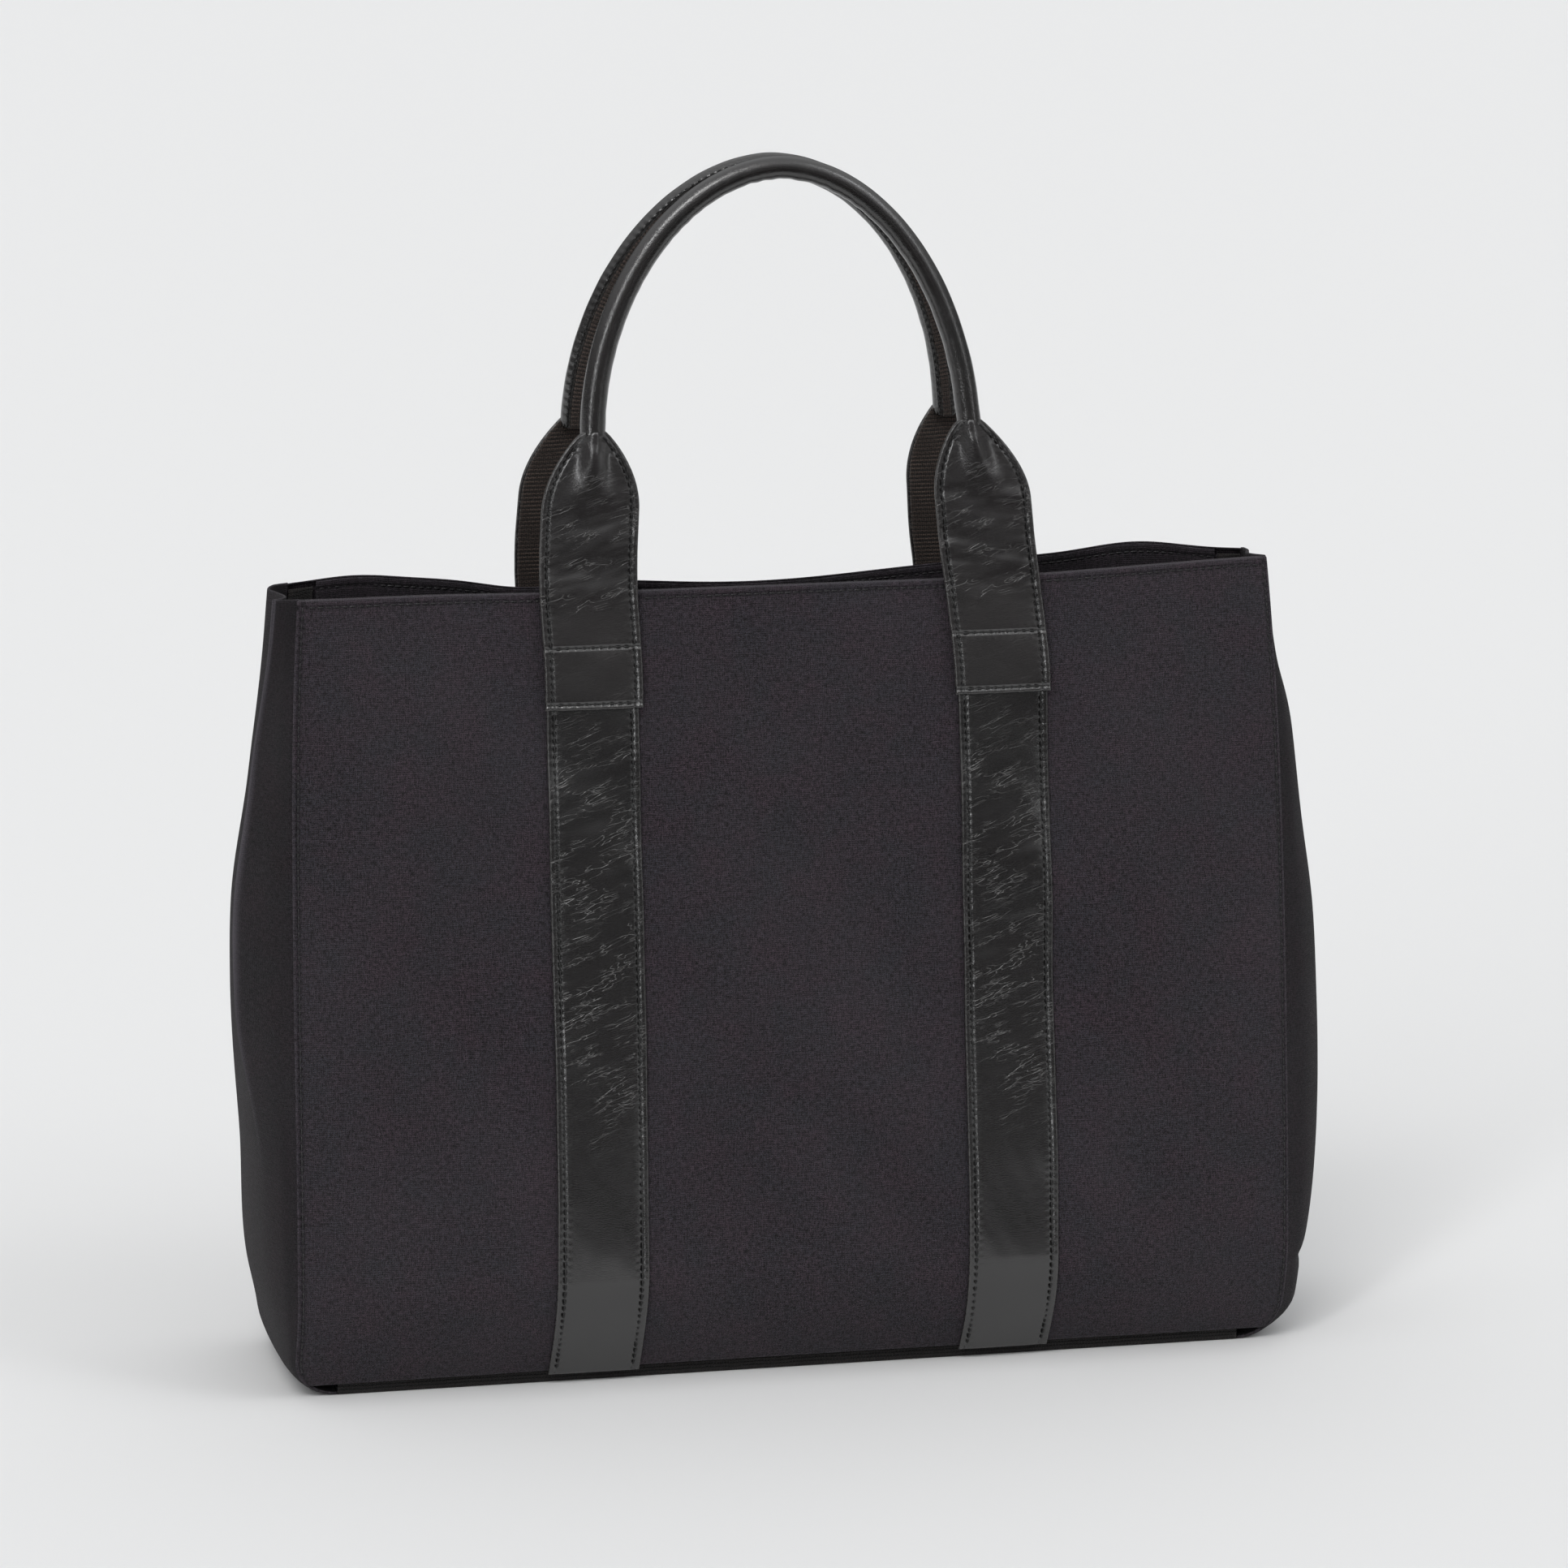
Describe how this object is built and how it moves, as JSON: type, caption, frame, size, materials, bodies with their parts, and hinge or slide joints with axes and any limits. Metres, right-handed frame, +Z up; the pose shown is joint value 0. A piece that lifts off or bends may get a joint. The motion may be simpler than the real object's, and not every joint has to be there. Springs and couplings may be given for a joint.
{
  "type": "canvas tote bag",
  "caption": "Upright dark canvas tote bag with leather straps, gusseted sides and two rolled leather handles that fold outwards over the mouth",
  "frame": {"origin": "middle of the base, on the surface that the bag stands on", "axes": "+X to the right seen from the front, -Y out of the front, +Z up"},
  "size_m": [0.4568, 0.1268, 0.5013],
  "materials": {
    "canvas": "dark woven cotton canvas, matt",
    "leather": "black full-grain leather, semi-gloss",
    "webbing": "ribbed woven webbing, dark brown",
    "binding_tape": "narrow woven tape, matt",
    "cord_core": "twisted cotton cord",
    "base_board": "matt black sheet"
  },
  "bodies": {
    "root": {"front_panel": "canvas", "back_panel": "canvas", "left_gusset": "canvas", "right_gusset": "canvas", "base_panel": "canvas", "base_board": "base_board", "front_base_welt": "binding_tape", "back_base_welt": "binding_tape", "front_facing": "canvas", "back_facing": "canvas", "front_left_seam_binding": "binding_tape", "front_left_strap": "leather", "front_left_tab_anchor": "leather", "front_left_webbing_anchor": "webbing", "front_right_seam_binding": "binding_tape", "front_right_strap": "leather", "front_right_tab_anchor": "leather", "front_right_webbing_anchor": "webbing", "back_left_seam_binding": "binding_tape", "back_left_strap": "leather", "back_left_tab_anchor": "leather", "back_left_webbing_anchor": "webbing", "back_right_seam_binding": "binding_tape", "back_right_strap": "leather", "back_right_tab_anchor": "leather", "back_right_webbing_anchor": "webbing"},
    "front_handle": {"front_grip_leather": "leather", "front_grip_webbing": "webbing", "front_grip_core": "cord_core", "front_left_tab": "leather", "front_left_tab_webbing": "webbing", "front_right_tab": "leather", "front_right_tab_webbing": "webbing"},
    "back_handle": {"back_grip_leather": "leather", "back_grip_webbing": "webbing", "back_grip_core": "cord_core", "back_left_tab": "leather", "back_left_tab_webbing": "webbing", "back_right_tab": "leather", "back_right_tab_webbing": "webbing"}
  },
  "joints": [
    {"name": "front_handle_fold", "type": "hinge", "parent": "root", "child": "front_handle", "pos_m": [0, -0.0291, 0.327], "axis": [1, 0, 0], "range_deg": [0, 172]},
    {"name": "back_handle_fold", "type": "hinge", "parent": "root", "child": "back_handle", "pos_m": [0, 0.0291, 0.327], "axis": [-1, 0, 0], "range_deg": [0, 172]}
  ]
}
